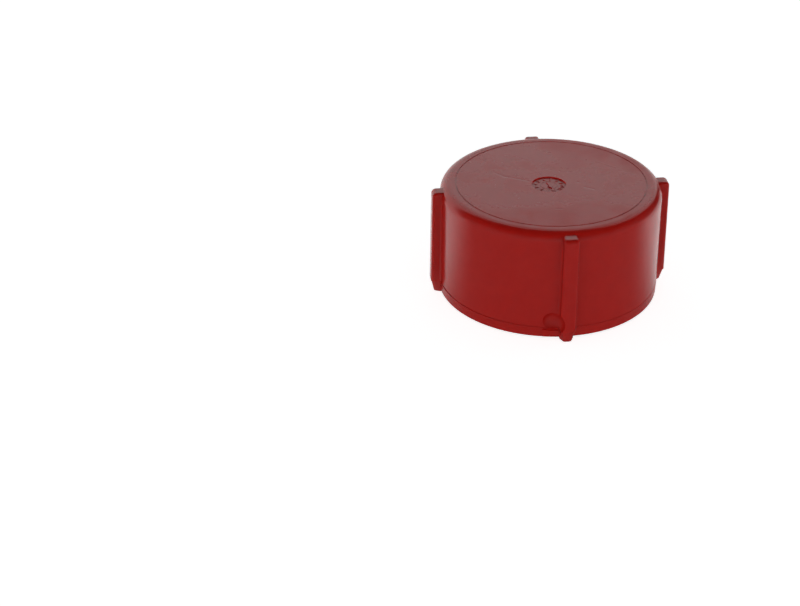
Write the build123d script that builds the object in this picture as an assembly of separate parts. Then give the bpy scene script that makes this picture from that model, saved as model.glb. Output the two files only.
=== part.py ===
from build123d import *
import math
import os

# Threaded protection cap: one piece, moulded in soft polyethylene.
# It stands mouth down on the toes of its four grip ribs. The origin is on the
# axis in the plane of the toes, +Z points to the closed end, and one rib is on
# the -Y side. Millimetres. Heights below count from the rim, which is toe_drop
# higher, and the finished cap is lifted by that much.

# Outside of the cup
skirt_wall = 1.95
cap_height = 26.5
skirt_draft = 0.37
top_edge_radius = 2.4
parting_height = 2.5
parting_step = 0.06
rim_taper = 2.0
rim_edge_radius = 0.25
ring_line_inset = 3.75
ring_line_width = 0.3
ring_line_depth = 0.12

# Inside of the cup: a parallel pipe thread of nominal size 1 1/2, with play on
# its male thread of 47.8 mm over the crests
thread_root_diameter = 48.1
thread_depth = 1.45
thread_pitch = 2.309
thread_flank_angle = 27.5
thread_crest_width = 0.5
thread_start_angle = 20.0
thread_end_gap = 2.5
groove_overrun = 0.15
mouth_clearance = 0.15
mouth_depth = 2.2
mouth_chamfer = 0.3
lead_in_angle = 45.0
end_wall = 2.4
end_corner_radius = 1.0

# Grip ribs
rib_count = 4
rib_width = 3.6
rib_reach = 2.25
rib_draft = 0.7
rib_flank_draft = 0.25
rib_top_gap = 0.8
rib_top_radius = 1.1
rib_edge_radius = 0.65
rib_root_depth = 1.5

# Hollow corners between the ribs' flanks and the skirt
flare_radius = 0.7
flare_end_radius = 0.2
flare_end_length = 1.2
flare_overlap = 0.4
flare_sink = 0.02

# Toes: the ribs' ends below the parting line
toe_drop = 0.6
toe_base_width = 3.1
toe_tip_width = 1.6
toe_reach = 1.4
toe_corner_radius = 0.6
toe_bottom_radius = 0.4
toe_foot_depth = 0.8
toe_inset = 0.12

# Gate recess beside the rib on the -Y side, and the pad below it
gate_ball_radius = 3.0
gate_depth = 0.87
gate_height = 4.25
gate_offset = 3.5
pad_width = 3.7
pad_bottom = 0.3
pad_gap = 0.5
pad_reach = 0.35

# Recess of the date dial in the flat top
dial_diameter = 8.0
dial_depth = 0.3
dial_x = -0.67
dial_y = -1.11

# Sizes that follow from the ones above
root_radius = thread_root_diameter / 2
crest_radius = root_radius - thread_depth
body_radius = root_radius + skirt_wall
mouth_radius = root_radius + mouth_clearance
lead_in_height = (mouth_radius - crest_radius) / math.tan(math.radians(lead_in_angle))
thread_bottom = mouth_depth + lead_in_height
cavity_depth = cap_height - end_wall
thread_room = cavity_depth - end_corner_radius - thread_end_gap - mouth_depth
thread_turns = int(thread_room / thread_pitch)


def skirt_radius(height):
    """Outer radius of the drafted skirt above the parting line."""
    return body_radius - (height - parting_height) * math.tan(math.radians(skirt_draft))


def rim_radius(height):
    """Outer radius of the rim band, which narrows from the parting line down."""
    drop = parting_height - height
    return body_radius + parting_step - drop * math.tan(math.radians(rim_taper))


def rib_face(height):
    """Distance of a rib's outer face from the cap's axis."""
    return body_radius + rib_reach - (height - parting_height) * math.tan(math.radians(rib_draft))


def make_cup():
    """The solid of revolution: skirt, rim band, rounded top edge and top wall."""
    with BuildPart() as cup:
        with BuildSketch(Plane.XZ):
            with BuildLine():
                Polyline(
                    (0, 0),
                    (rim_radius(0), 0),
                    (rim_radius(parting_height), parting_height),
                    (body_radius, parting_height),
                    (skirt_radius(cap_height), cap_height),
                    (0, cap_height),
                    close=True,
                )
            make_face()
        revolve(axis=Axis.Z)
        fillet(cup.edges().group_by(Axis.Z)[-1], top_edge_radius)
        fillet(cup.edges().group_by(Axis.Z)[0], rim_edge_radius)
    return cup.part


def make_rib():
    """One grip rib on the -Y side, above the parting line."""
    top = cap_height - rib_top_gap
    root = -(body_radius - rib_root_depth)
    with BuildPart() as rib:
        with BuildSketch(Plane.YZ):
            with BuildLine():
                Polyline(
                    (root, parting_height),
                    (-rib_face(parting_height), parting_height),
                    (-rib_face(top), top),
                    (root, top),
                    close=True,
                )
            make_face()
        extrude(amount=rib_width / 2, both=True)
        top_edge = rib.edges().filter_by(Axis.X).group_by(Axis.Z)[-1].sort_by(Axis.Y)[0]
        fillet(top_edge, rib_top_radius)
        flanks = rib.faces().filter_by(Axis.X)
        draft(flanks, Plane.XY.offset(parting_height), rib_flank_draft)
        side_edges = ShapeList()
        for flank in (rib.faces().sort_by(Axis.X)[0], rib.faces().sort_by(Axis.X)[-1]):
            outline = flank.edges()
            kept = outline.sort_by(Axis.Y)[:-1].sort_by(Axis.Z)[1:]
            side_edges.extend(kept)
        fillet(side_edges, rib_edge_radius)
    return rib.part


def flare_section(height, radius, side):
    """The space between a rib's flank and the skirt at one height, inside a hollow arc."""
    half = rib_width / 2 - (height - parting_height) * math.tan(math.radians(rib_flank_draft))
    skirt = skirt_radius(height)
    reach = skirt + radius - flare_sink
    center_x = half + radius - flare_sink
    center_y = math.sqrt(reach * reach - center_x * center_x)
    spread = math.acos((radius * radius + reach * reach - skirt * skirt) / (2 * radius * reach))
    skirt_turn = math.atan2(center_x, center_y) + spread
    flank_turn = math.acos(math.sqrt(2 * radius * flare_sink - flare_sink * flare_sink) / radius)
    ends = []
    for turn in (flank_turn, (flank_turn + skirt_turn) / 2, skirt_turn):
        ends.append((side * (center_x - radius * math.sin(turn)), radius * math.cos(turn) - center_y))
    flank_end, middle, skirt_end = ends
    with BuildSketch(Plane.XY.offset(height)) as section:
        with BuildLine():
            ThreePointArc(flank_end, middle, skirt_end)
            Polyline(
                skirt_end,
                (skirt_end[0], skirt_end[1] + flare_overlap),
                (flank_end[0] - side * flare_overlap, skirt_end[1] + flare_overlap),
                (flank_end[0] - side * flare_overlap, flank_end[1]),
                flank_end,
            )
        make_face()
    return section.sketch


def make_flare(side):
    """The hollow corner between one flank of the rib and the skirt."""
    top = cap_height - top_edge_radius
    sections = [
        flare_section(parting_height, flare_end_radius, side),
        flare_section(parting_height + flare_end_length / 2, flare_radius, side),
        flare_section(top - flare_end_length, flare_radius, side),
        flare_section(top, flare_end_radius, side),
    ]
    return loft(sections, ruled=True)


def toe_section(height, base_width, tip_width, reach, depth):
    """A rounded trapezoid: the plan form of a rib's toe at one height."""
    root = -(body_radius - depth)
    face = -(body_radius + reach)
    with BuildSketch(Plane.XY.offset(height)) as section:
        with BuildLine():
            Polyline(
                (-base_width / 2, root),
                (-base_width / 2, -body_radius),
                (-tip_width / 2, face),
                (tip_width / 2, face),
                (base_width / 2, -body_radius),
                (base_width / 2, root),
                close=True,
            )
        make_face()
        tips = section.vertices().group_by(Axis.Y)[0]
        fillet(tips, toe_corner_radius)
    return section.sketch


def make_toe():
    """The rib's tapered end below the parting line. It stands a little below the rim."""
    wide = rib_width - 2 * toe_inset
    upper = toe_section(parting_height, wide, wide, rib_reach - toe_inset, rib_root_depth)
    lower = toe_section(-toe_drop, toe_base_width, toe_tip_width, toe_reach, toe_foot_depth)
    with BuildPart() as toe:
        add(loft([upper, lower]))
        fillet(toe.edges().group_by(Axis.Z)[0], toe_bottom_radius)
    return toe.part


def make_groove_turn():
    """One turn of the helical space between the thread's ridges.

    The groove is cut outwards from the bore, whose wall stays as the thread's crest.
    """
    opening = thread_pitch - thread_crest_width
    slope = math.tan(math.radians(thread_flank_angle))
    half_inner = opening / 2 + groove_overrun * slope
    half_outer = opening / 2 - thread_depth * slope
    with BuildPart() as turn:
        with BuildLine():
            path = Helix(thread_pitch, thread_pitch, crest_radius)
        with BuildSketch(Plane.XZ):
            with BuildLine():
                Polyline(
                    (crest_radius - groove_overrun, -half_inner),
                    (root_radius, -half_outer),
                    (root_radius, half_outer),
                    (crest_radius - groove_overrun, half_inner),
                    close=True,
                )
            make_face()
        sweep(path=path, is_frenet=True)
    return Location((0, 0, 0), (0, 0, thread_start_angle)) * turn.part


def make_cavity():
    """The space inside: mouth, lead-in cone, and the bore at the thread's crest."""
    with BuildPart() as cavity:
        with BuildSketch(Plane.XZ):
            with BuildLine():
                Polyline(
                    (0, 0),
                    (mouth_radius + mouth_chamfer, 0),
                    (mouth_radius, mouth_chamfer),
                    (mouth_radius, mouth_depth),
                    (crest_radius, thread_bottom),
                    (crest_radius, cavity_depth),
                    (0, cavity_depth),
                    close=True,
                )
            make_face()
        revolve(axis=Axis.Z)
        fillet(cavity.edges().group_by(Axis.Z)[-1], end_corner_radius)
    return cavity.part


def make_gate_recess():
    """A shallow ball-shaped recess, where the plastic was fed into the mould."""
    bearing = math.degrees(gate_offset / body_radius)
    distance = skirt_radius(gate_height) + gate_ball_radius - gate_depth
    with BuildPart() as recess:
        with Locations(Location((0, 0, 0), (0, 0, -90 - bearing))):
            with Locations((distance, 0, gate_height)):
                Sphere(gate_ball_radius)
    return recess.part


def make_gate_pad():
    """The flat pad on the rim band, from the rib's flank to below the gate recess."""
    arc = math.degrees((pad_width + rib_width / 2) / body_radius)
    with BuildPart() as pad:
        with BuildSketch(Plane.XZ):
            with Locations((body_radius + pad_reach, pad_bottom)):
                Rectangle(
                    rib_root_depth + pad_reach,
                    parting_height - pad_gap - pad_bottom,
                    align=(Align.MAX, Align.MIN),
                )
        revolve(axis=Axis.Z, revolution_arc=arc)
    return Location((0, 0, 0), (0, 0, -90 - arc)) * pad.part


def make_ring_line():
    """The thin circular groove on the flat top."""
    middle = body_radius - ring_line_inset
    with BuildPart() as ring:
        with BuildSketch(Plane.XY.offset(cap_height)):
            Circle(middle + ring_line_width / 2)
            Circle(middle - ring_line_width / 2, mode=Mode.SUBTRACT)
        extrude(amount=-ring_line_depth)
    return ring.part


def make_cap():
    """The whole cap as one solid."""
    turn = make_groove_turn()
    with BuildPart() as cap:
        add(make_cup())
        with PolarLocations(0, rib_count):
            add(make_rib())
            add(make_flare(1))
            add(make_flare(-1))
            add(make_toe())
        add(make_gate_pad())
        add(make_cavity(), mode=Mode.SUBTRACT)
        add(make_gate_recess(), mode=Mode.SUBTRACT)
        add(make_ring_line(), mode=Mode.SUBTRACT)
        with Locations((dial_x, dial_y, cap_height)):
            Cylinder(dial_diameter / 2, 2 * dial_depth, mode=Mode.SUBTRACT)
        heights = [mouth_depth + count * thread_pitch for count in range(thread_turns)]
        with Locations(*[(0, 0, height) for height in heights]):
            add(turn, mode=Mode.SUBTRACT)
    return cap.part


def main():
    os.makedirs("parts", exist_ok=True)
    cap = Pos(0, 0, toe_drop) * make_cap()
    print("cap", round(cap.volume), cap.is_valid, len(cap.solids()), cap.bounding_box())
    export_step(cap, "parts/cap.step")


main()
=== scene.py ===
# %% [markdown]
# # A threaded protection cap in red polyethylene
#
# The part is one moulding: a round cup that screws over the end of a pipe fitting. It has four
# grip ribs, a flat top with a date dial let into it, and a fine parting line near its rim. The
# CAD model already holds that form, its thread included, so Blender keeps it as it is. What is
# added here is what a mould leaves on the surface: raised figures in the dial, a hair of flash,
# and a skin of soft plastic with its flow marks and rubs.

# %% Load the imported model
import bpy
import math
from mathutils import Matrix, Vector


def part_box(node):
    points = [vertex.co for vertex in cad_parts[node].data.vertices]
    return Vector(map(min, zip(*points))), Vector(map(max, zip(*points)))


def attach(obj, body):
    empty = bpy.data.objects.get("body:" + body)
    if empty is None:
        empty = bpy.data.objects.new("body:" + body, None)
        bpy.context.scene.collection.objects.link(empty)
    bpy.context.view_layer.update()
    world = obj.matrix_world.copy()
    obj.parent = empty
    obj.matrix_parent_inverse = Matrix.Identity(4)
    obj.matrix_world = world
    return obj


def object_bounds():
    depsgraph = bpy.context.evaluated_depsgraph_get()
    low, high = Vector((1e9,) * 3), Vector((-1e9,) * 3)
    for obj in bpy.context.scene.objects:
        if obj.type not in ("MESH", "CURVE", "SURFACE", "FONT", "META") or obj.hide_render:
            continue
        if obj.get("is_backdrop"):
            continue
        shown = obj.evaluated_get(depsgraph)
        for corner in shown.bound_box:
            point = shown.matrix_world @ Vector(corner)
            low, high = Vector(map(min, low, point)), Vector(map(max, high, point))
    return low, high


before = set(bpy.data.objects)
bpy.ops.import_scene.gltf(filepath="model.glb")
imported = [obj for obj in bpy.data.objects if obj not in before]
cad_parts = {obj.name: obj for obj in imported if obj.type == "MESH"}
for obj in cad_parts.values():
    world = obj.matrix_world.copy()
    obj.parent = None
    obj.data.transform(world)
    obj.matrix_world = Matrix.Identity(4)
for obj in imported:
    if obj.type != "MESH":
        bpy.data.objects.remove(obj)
cad_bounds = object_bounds()
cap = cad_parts["cap"]
low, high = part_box("cap")
print("cap from", [round(x * 1000, 2) for x in low], "to", [round(x * 1000, 2) for x in high], "mm")

# %% [markdown]
# ## The camera
#
# A 75 mm lens stands about 40 cm away and looks down at some 30 degrees, a little to the right
# of the rib that has the gate beside it. The cap sits right of the middle of the frame, so the
# camera is aimed at a point beside the cap rather than at its axis. Building the camera's three
# axes from the two angles keeps each number a plain, readable one.

# %% Stand the camera
view_turn = math.radians(5.3)
view_pitch = math.radians(30.35)
view_roll = math.radians(0.42)
view_distance = 0.4037
cap_right_of_aim = 0.03536
cap_above_aim = 0.00537

right = Vector((math.cos(view_turn), -math.sin(view_turn), 0))
away = Vector((math.sin(view_turn), math.cos(view_turn), 0))
forward = away * math.cos(view_pitch) - Vector((0, 0, 1)) * math.sin(view_pitch)
up = away * math.sin(view_pitch) + Vector((0, 0, 1)) * math.cos(view_pitch)
camera_x = right * math.cos(view_roll) - up * math.sin(view_roll)
camera_y = right * math.sin(view_roll) + up * math.cos(view_roll)
rim_height = 0.0006
cap_from_camera = camera_x * cap_right_of_aim + camera_y * cap_above_aim + forward * view_distance
place = Vector((0, 0, rim_height)) - cap_from_camera

bpy.ops.object.camera_add()
camera = bpy.context.object
camera.data.sensor_width = 36
camera.data.lens = 75.32
camera.data.clip_start = 0.01
facing = Matrix((camera_x, camera_y, -forward)).transposed().to_4x4()
camera.matrix_world = Matrix.Translation(place) @ facing
bpy.context.scene.camera = camera
print("camera at", [round(x * 1000) for x in place], "mm")

# %% Helpers
def deselect():
    """Nothing is left selected, so the next operator acts only on what it adds."""
    if bpy.context.object and bpy.context.object.mode == "EDIT":
        bpy.ops.object.mode_set(mode="OBJECT")
    bpy.ops.object.select_all(action="DESELECT")


def select(*pieces):
    """Select these pieces; the first one is the active one."""
    deselect()
    for piece in pieces:
        piece.select_set(True)
    bpy.context.view_layer.objects.active = pieces[0]


def new_material(name):
    """An empty node material, as (material, nodes, links)."""
    material = bpy.data.materials.new(name)
    material.use_nodes = True
    nodes = material.node_tree.nodes
    nodes.clear()
    return material, nodes, material.node_tree.links


class Graph:
    """Short names for the few kinds of node that the materials and the world are made of."""

    def __init__(self, nodes, links):
        self.nodes, self.links = nodes, links

    def feed(self, socket, value):
        if isinstance(value, bpy.types.NodeSocket):
            self.links.new(value, socket)
        else:
            socket.default_value = value

    def math(self, operation, a, b=0.0, clamp=False):
        node = self.nodes.new("ShaderNodeMath")
        node.operation = operation
        node.use_clamp = clamp
        self.feed(node.inputs[0], a)
        self.feed(node.inputs[1], b)
        return node.outputs[0]

    def vector(self, operation, a, b=(0, 0, 0)):
        node = self.nodes.new("ShaderNodeVectorMath")
        node.operation = operation
        self.feed(node.inputs[0], a)
        if operation == "SCALE":
            self.feed(node.inputs["Scale"], b)
        else:
            self.feed(node.inputs[1], b)
        gives_number = operation in ("DOT_PRODUCT", "DISTANCE")
        return node.outputs["Value" if gives_number else "Vector"]

    def ramp(self, value, start, end, low_value=0.0, high_value=1.0):
        node = self.nodes.new("ShaderNodeMapRange")
        node.interpolation_type = "SMOOTHSTEP"
        self.feed(node.inputs["Value"], value)
        node.inputs["From Min"].default_value = start
        node.inputs["From Max"].default_value = end
        node.inputs["To Min"].default_value = low_value
        node.inputs["To Max"].default_value = high_value
        return node.outputs["Result"]

    def noise(self, where, scale, detail=2.0, rough=0.5, distortion=0.0):
        node = self.nodes.new("ShaderNodeTexNoise")
        self.feed(node.inputs["Vector"], where)
        node.inputs["Scale"].default_value = scale
        node.inputs["Detail"].default_value = detail
        node.inputs["Roughness"].default_value = rough
        node.inputs["Distortion"].default_value = distortion
        return node.outputs["Fac"]

    def blend(self, factor, a, b):
        node = self.nodes.new("ShaderNodeMix")
        node.data_type = "RGBA"
        self.feed(node.inputs["Factor"], factor)
        self.feed(node.inputs[6], a)
        self.feed(node.inputs[7], b)
        return node.outputs[2]


# %% [markdown]
# ## The table
#
# The cap stands on a white table, in front of a lit white backdrop. In Blender the table is one
# large plane. Its diffuse part takes the cap's shadow, and a glow that only the camera and the
# cap's gloss see makes it white, so it adds no light to the cap. The glow
# that the gloss of the cap mirrors is weak in front, where the table is not lit, and full
# behind the cap, where the backdrop begins.

# %% Lay the table
deselect()
bpy.ops.mesh.primitive_plane_add(size=6, location=(0, 0, low.z - 0.00002))
floor = bpy.context.object
floor.name = "floor"
floor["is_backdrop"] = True

table_seen = 0.85
table_mirrored_front = 0.06
table_mirrored_back = 0.75

table, nodes, links = new_material("white_table")
g = Graph(nodes, links)
rays = nodes.new("ShaderNodeLightPath")
place_on_table = nodes.new("ShaderNodeTexCoord").outputs["Object"]
depth = g.vector("DOT_PRODUCT", place_on_table, away)
mirrored = g.ramp(depth, -0.02, 0.012, table_mirrored_front, table_mirrored_back)
glossy = g.math("MAXIMUM", rays.outputs["Is Glossy Ray"], rays.outputs["Is Transmission Ray"])
glow = g.math("MULTIPLY", glossy, mirrored)
glow = g.math("ADD", glow, g.math("MULTIPLY", rays.outputs["Is Camera Ray"], table_seen))
paint = nodes.new("ShaderNodeBsdfDiffuse")
paint.inputs["Color"].default_value = (0.8, 0.8, 0.8, 1)
shine = nodes.new("ShaderNodeEmission")
links.new(glow, shine.inputs["Strength"])
both = nodes.new("ShaderNodeAddShader")
links.new(paint.outputs[0], both.inputs[0])
links.new(shine.outputs[0], both.inputs[1])
links.new(both.outputs[0], nodes.new("ShaderNodeOutputMaterial").inputs["Surface"])
floor.data.materials.append(table)
print("table at", round(low.z * 1000, 2), "mm")

# %% [markdown]
# ## The room
#
# The backdrop behind the cap is lit; the room in front, overhead and to the right is dark. A
# glossy cap shows that as a clear border: its flat top mirrors the backdrop, and the rounded
# edge around the top, which faces the room, mirrors nothing and shows the plain red. Three flat
# borders cut the lit part out of the sphere of directions. Each is given by the direction it
# faces, in steps to the right, away and up. The soft light that falls on the cap comes from a
# low bright band of walls all around, with a dim ceiling: upright sides face the walls and the
# flat top does not, which is why the skirt is brighter than the top.

# %% Light the room
backdrop_light = 1.2
wall_light = 2.2
ceiling_light = 0.05
wall_top = math.sin(math.radians(20))
borders = [(0.0, 0.96, -0.29), (-0.82, 0.40, 0.41), (0.26, 0.88, -0.41)]

world = bpy.data.worlds.new("studio")
bpy.context.scene.world = world
world.use_nodes = True
nodes, links = world.node_tree.nodes, world.node_tree.links
nodes.clear()
g = Graph(nodes, links)
rays = nodes.new("ShaderNodeLightPath")
direction = nodes.new("ShaderNodeTexCoord").outputs["Generated"]
inside = None
for to_right, to_away, to_up in borders:
    facing = right * to_right + away * to_away + Vector((0, 0, to_up))
    lit = g.vector("DOT_PRODUCT", direction, facing)
    inside = lit if inside is None else g.math("MINIMUM", inside, lit)
backdrop = g.ramp(inside, -0.03, 0.05, 0.0, backdrop_light)
glossy = g.math("MAXIMUM", rays.outputs["Is Glossy Ray"], rays.outputs["Is Transmission Ray"])
strength = g.math("MULTIPLY", glossy, backdrop)
rest = g.math("SUBTRACT", 1.0, g.math("MAXIMUM", glossy, rays.outputs["Is Camera Ray"]))
elevation = g.vector("DOT_PRODUCT", direction, (0, 0, 1))
room = g.ramp(elevation, wall_top - 0.08, wall_top + 0.08, wall_light, ceiling_light)
strength = g.math("ADD", strength, g.math("MULTIPLY", rest, room))
strength = g.math("ADD", strength, rays.outputs["Is Camera Ray"])
sky = nodes.new("ShaderNodeBackground")
links.new(strength, sky.inputs["Strength"])
links.new(sky.outputs[0], nodes.new("ShaderNodeOutputWorld").inputs["Surface"])
print("wall light", wall_light, "backdrop", backdrop_light)

# %% [markdown]
# ## The plastic
#
# Low-density polyethylene is soft and waxy. Light goes a little way in and comes out redder, so
# thin edges such as the rim and the ribs' toes glow. The mould's polish gives a satin gloss. On
# the flat top the gloss is uneven: the mould was rubbed by hand, and caps lie on each other in a
# box. So there the roughness changes in soft clouds, while the moulded shape stays as it is.
# Marks are drawn as short strokes: the distance from a point to a stroke makes a soft mask.

# %% Mix the plastic
plastic_red = (0.58, 0.0130, 0.0085, 1)
# The deeper red is the plastic's own patchy tone. In the top's creases and dents it is also painted
# shade.
plastic_deep_and_crease_shade = (0.50, 0.010, 0.007, 1)
top_height = high.z * 1000

plastic, nodes, links = new_material("red_polyethylene")
g = Graph(nodes, links)
skin = nodes.new("ShaderNodeBsdfPrincipled")
skin.inputs["IOR"].default_value = 1.5
skin.inputs["Subsurface Weight"].default_value = 0.2
skin.inputs["Subsurface Radius"].default_value = (2.0, 0.3, 0.2)
skin.inputs["Subsurface Scale"].default_value = 0.001
links.new(skin.outputs[0], nodes.new("ShaderNodeOutputMaterial").inputs["Surface"])

mm = g.vector("SCALE", nodes.new("ShaderNodeTexCoord").outputs["Object"], 1000.0)
height = g.vector("DOT_PRODUCT", mm, (0, 0, 1))
on_top = g.ramp(height, top_height - 0.2, top_height - 0.05)
to_right = g.vector("DOT_PRODUCT", mm, right)
to_away = g.vector("DOT_PRODUCT", mm, away)
print("flat top at", round(top_height, 2), "mm")


def on_cap(x, y):
    """A point of the flat top, in mm to the right and away from the viewer."""
    point = right * x + away * y
    return Vector((point.x, point.y, top_height))


def stroke(start, end, width):
    """1 on the stroke from start to end, falling to 0 at the width from it."""
    a, b = on_cap(*start), on_cap(*end)
    along = b - a
    offset = g.vector("SUBTRACT", mm, a)
    travelled = g.vector("DOT_PRODUCT", offset, along)
    share = g.math("MULTIPLY", travelled, 1 / along.length_squared, clamp=True)
    nearest = g.vector("SCALE", tuple(along), share)
    return g.ramp(g.vector("DISTANCE", offset, nearest), 0.0, width, 1.0, 0.0)


def strokes(points, width):
    """A bent mark: one stroke after another through the points."""
    mask = None
    for start, end in zip(points, points[1:]):
        piece = stroke(start, end, width)
        mask = piece if mask is None else g.math("MAXIMUM", mask, piece)
    return mask


# %% Clouds, rubs and dents on the flat top
clouds = g.noise(mm, 0.16, 3.0, 0.55, 0.6)
clouds = g.ramp(clouds, 0.38, 0.66)
front_zone = g.ramp(to_away, -9.0, -17.0)
back_zone = g.ramp(g.math("ADD", to_away, g.math("MULTIPLY", to_right, 0.9)), 9.0, 26.0)
rubbed = g.math("MAXIMUM", front_zone, back_zone)
dull = g.math("ADD", g.math("MULTIPLY", clouds, 0.45), g.math("MULTIPLY", rubbed, 0.55), clamp=True)
dull = g.math("MULTIPLY", dull, on_top)

wrinkle = strokes([(-12.8, 5.1), (-10.6, 2.9), (-8.7, 2.2), (-5.4, 0.7)], 0.55)
nick = stroke((-15.4, 10.2), (-14.7, 12.4), 0.5)
small_dent = stroke((6.3, -0.2), (6.5, -0.3), 0.6)
long_dent = stroke((7.6, -2.8), (9.6, -3.9), 0.5)
dents = g.math("MAXIMUM", small_dent, long_dent)
dents = g.math("MAXIMUM", dents, stroke((0.1, -13.7), (1.4, -13.7), 0.5))
creases = g.math("MAXIMUM", g.math("MAXIMUM", wrinkle, nick), dents)
long_scuff = stroke((11.8, 10.5), (15.9, 7.2), 0.5)
edge_scuff = stroke((16.5, 6.1), (20.1, 2.8), 0.5)
scuffs = g.math("MAXIMUM", long_scuff, edge_scuff)

# %% Colour, gloss and relief
fine = g.noise(mm, 2.6, 2.0, 0.5)
waves = g.noise(mm, 0.22, 1.0, 0.5)
skirt_gloss = g.ramp(g.noise(mm, 0.5, 3.0, 0.6), 0.3, 0.75, 0.19, 0.26)
gloss = g.math("ADD", skirt_gloss, g.math("MULTIPLY", dull, 0.20))
gloss = g.math("ADD", gloss, g.math("MULTIPLY", g.math("MULTIPLY", scuffs, on_top), -0.08))
links.new(gloss, skin.inputs["Roughness"])
shade = g.math("MULTIPLY", g.ramp(g.noise(mm, 0.35, 3.0, 0.6), 0.3, 0.7), 0.35)
# In the creases and dents of the flat top the colour is darkened towards the deeper red. That is
# painted shade in them, beside the bump that sinks them.
top_creases = g.math("MULTIPLY", creases, on_top)
shade = g.math("ADD", shade, g.math("MULTIPLY", top_creases, 0.6), clamp=True)
links.new(g.blend(shade, plastic_red, plastic_deep_and_crease_shade), skin.inputs["Base Color"])

relief = g.math("MULTIPLY", fine, 0.004)
relief = g.math("ADD", relief, g.math("MULTIPLY", waves, 0.03))
relief = g.math("SUBTRACT", relief, g.math("MULTIPLY", top_creases, 0.05))
bump = nodes.new("ShaderNodeBump")
bump.inputs["Distance"].default_value = 0.001
links.new(relief, bump.inputs["Height"])
links.new(bump.outputs[0], skin.inputs["Normal"])

for slot in cap.material_slots:
    slot.material = plastic
print("plastic on", len(cap.material_slots), "slot of the cap, with", len(nodes), "nodes")


def finish_piece(piece, name):
    """Put the place into the mesh, give the piece its plastic, and let it ride on the body."""
    select(piece)
    bpy.ops.object.transform_apply(location=True, rotation=True, scale=True)
    piece.name = name
    piece.data.materials.clear()
    piece.data.materials.append(plastic)
    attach(piece, "root")
    size = [round(length * 1000, 2) for length in piece.dimensions]
    print(name, len(piece.data.polygons), "faces, size", size, "mm")


# %% [markdown]
# ## The date dial
#
# A small steel insert in the mould marks the month. Its figures are cut into the steel, so on
# the cap they stand up from the floor of a shallow round recess, and stay below the flat top
# where nothing rubs them off. The twelve months stand around a turning core, and the core's
# arrow points at one of them. The core leaves a thin raised ring where steel meets steel.

# %% Months around the dial
dial_middle = Vector((-0.00067, -0.00111, 0))
dial_floor = high.z - 0.0003
figure_circle = 0.00305
arrow_turn = math.radians(-76)

figures = []
for month in range(1, 13):
    turn = arrow_turn + math.radians(30 * (12 - month))
    spot = dial_middle + Vector((math.cos(turn), math.sin(turn), 0)) * figure_circle
    deselect()
    upright = turn - math.pi / 2
    bpy.ops.object.text_add(location=(spot.x, spot.y, dial_floor), rotation=(0, 0, upright))
    text = bpy.context.object
    text.data.body = str(month)
    text.data.size = 0.00125
    text.data.align_x = "CENTER"
    text.data.align_y = "CENTER"
    text.data.resolution_u = 4
    text.data.offset = 0.00001
    text.data.extrude = 0.00007
    text.data.bevel_depth = 0.00004
    text.data.bevel_resolution = 1
    bpy.ops.object.convert(target="MESH")
    figures.append(bpy.context.object)
select(*figures)
bpy.ops.object.join()
months = bpy.context.object
finish_piece(months, "dial_months")

# %% The core's ring and arrow
core_radius = 0.00195
deselect()
bpy.ops.mesh.primitive_torus_add(
    location=(dial_middle.x, dial_middle.y, dial_floor),
    major_radius=core_radius, minor_radius=0.00005, major_segments=72, minor_segments=10,
)
core_ring = bpy.context.object
bpy.ops.object.shade_smooth()
finish_piece(core_ring, "dial_ring")

arrow_axis = Vector((math.cos(arrow_turn), math.sin(arrow_turn), 0))
arrow_height = 0.0002
arrow_middle = dial_floor + arrow_height / 2
head_place = dial_middle + arrow_axis * 0.00100
deselect()
bpy.ops.mesh.primitive_cylinder_add(
    vertices=3, radius=0.00075, depth=arrow_height,
    location=(head_place.x, head_place.y, arrow_middle), rotation=(0, 0, arrow_turn - math.pi / 2),
)
arrow_head = bpy.context.object
tail_place = dial_middle - arrow_axis * 0.00035
deselect()
bpy.ops.mesh.primitive_cube_add(
    size=1, location=(tail_place.x, tail_place.y, arrow_middle), rotation=(0, 0, arrow_turn),
)
arrow_shaft = bpy.context.object
arrow_shaft.scale = (0.0021, 0.00028, arrow_height)
select(arrow_head, arrow_shaft)
bpy.ops.object.join()
arrow = bpy.context.object
select(arrow)
bpy.ops.object.transform_apply(location=True, rotation=True, scale=True)
rounding = arrow.modifiers.new("rounding", "BEVEL")
rounding.width = 0.00006
rounding.segments = 2
bpy.ops.object.modifier_apply(modifier=rounding.name)
finish_piece(arrow, "dial_arrow")

# %% [markdown]
# ## The parting line's flash
#
# The mould opens in the plane between skirt and rim band. Its two halves never meet quite true,
# and plastic creeps a few hundredths of a millimetre into the joint on the side where they
# gape. A thin ring, set off a little towards that side, stands out there as a hair of flash and
# sinks into the wall on the other side, which is what the real line does.

# %% A hair of flash
parting_height = 0.0031
body_radius = 0.026
flash_shift = right * -0.00005 + away * -0.00002
deselect()
bpy.ops.mesh.primitive_torus_add(
    location=(flash_shift.x, flash_shift.y, parting_height),
    major_radius=body_radius + 0.00003, minor_radius=0.00006, major_segments=256, minor_segments=10,
)
flash = bpy.context.object
bpy.ops.object.shade_smooth()
finish_piece(flash, "parting_flash")

# %% [markdown]
# ## Size
# The dressed part must not outgrow its model, so the largest change between the two boxes is
# printed.
# The dressed part must not outgrow its model, so both boxes are written down side by side.

# %% Check the size and finish
scene = bpy.context.scene
scene.view_settings.view_transform = "Standard"
visual_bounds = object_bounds()
grown = max(abs(a - b) for one, two in zip(cad_bounds, visual_bounds) for a, b in zip(one, two))
print("largest change of the box", round(grown * 1000, 4), "mm")
